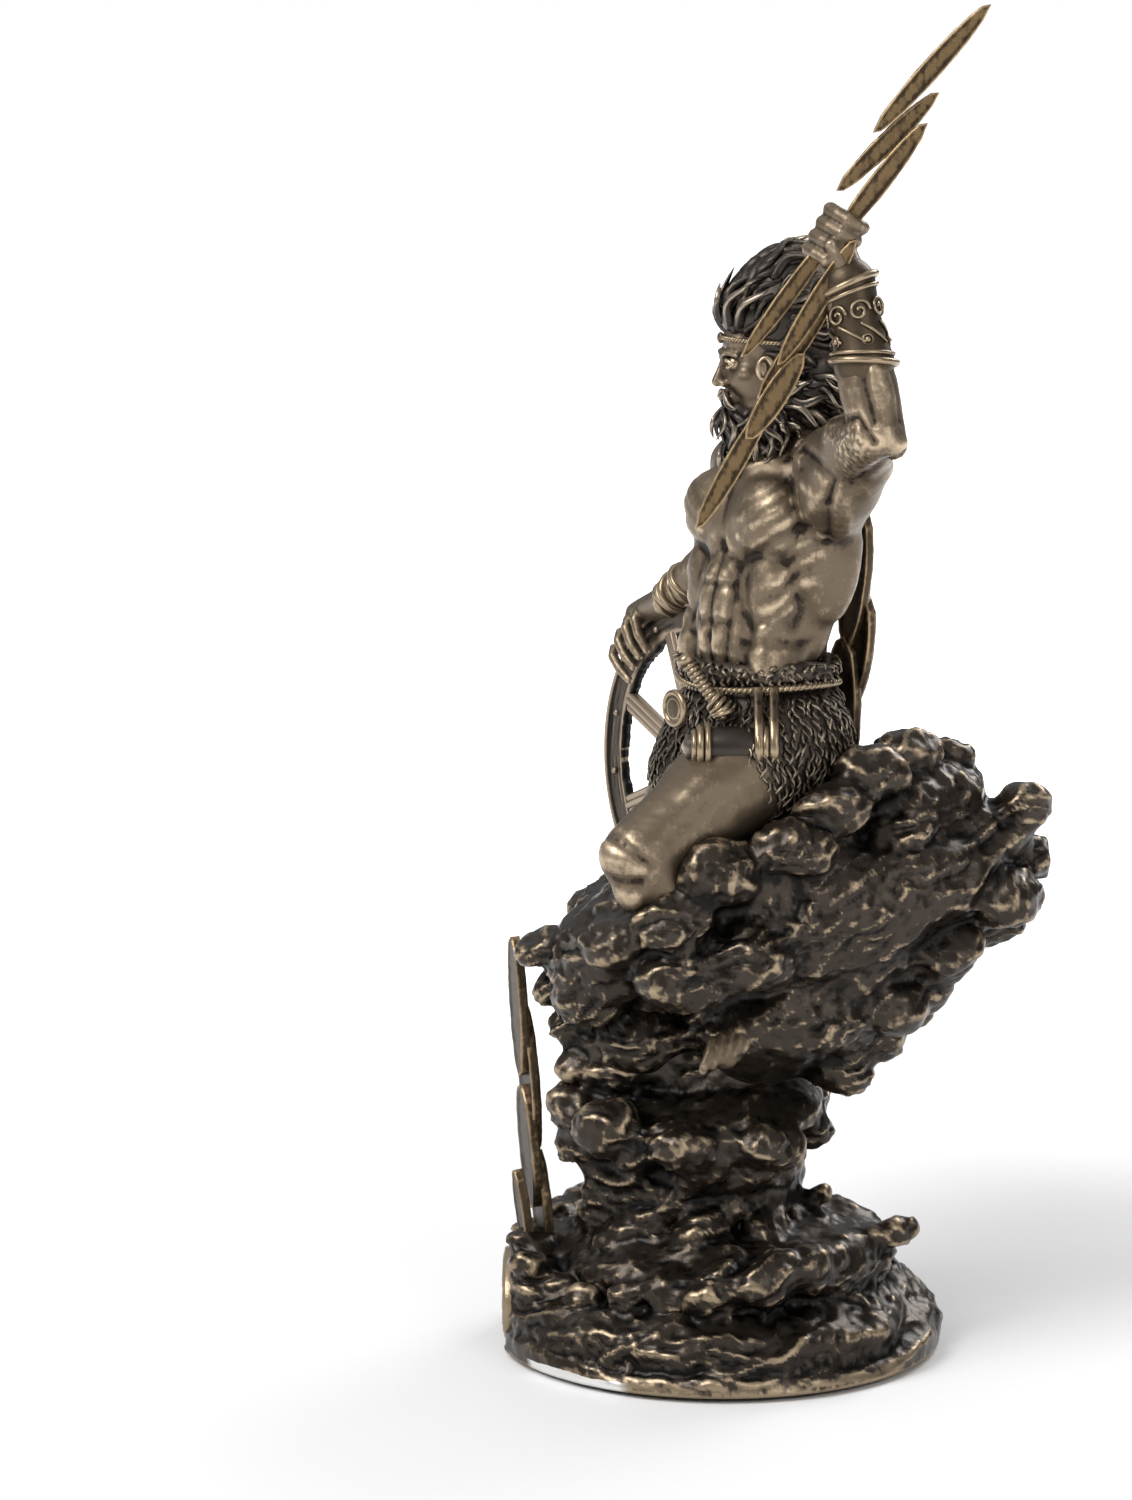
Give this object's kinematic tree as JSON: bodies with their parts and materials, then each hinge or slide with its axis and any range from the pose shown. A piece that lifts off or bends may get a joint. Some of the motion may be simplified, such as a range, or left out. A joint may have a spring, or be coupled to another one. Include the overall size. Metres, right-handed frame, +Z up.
{
  "type": "taranis statue",
  "caption": "Cold-cast bronze figurine of a bearded thunder god kneeling on a swirling storm cloud, lightning raised in one hand and a spoked wheel under the other.",
  "frame": {"origin": "middle of the felt's flat underside, under the centre of the round base", "axes": "+Z up, the nameplate on the base looks along -Y, the god's raised left arm is on the +X side"},
  "size_m": [0.1489, 0.1272, 0.3083],
  "materials": {
    "cloud": "cold-cast resin, dark bronze patina with rubbed bronze ridges",
    "figure": "cold-cast resin, rubbed antique bronze with black-brown recesses",
    "wheel": "cold-cast resin, antique bronze over carved wood grain",
    "lightning": "cold-cast resin, golden bronze with bright rubbed edges",
    "felt": "black felt"
  },
  "bodies": {
    "root": {"storm_cloud_base": "cloud", "taranis_figure": "figure", "spoked_wheel": "wheel", "raised_bolt": "lightning", "rear_bolt": "lightning", "front_bolt": "lightning", "felt_pad": "felt"}
  },
  "joints": []
}
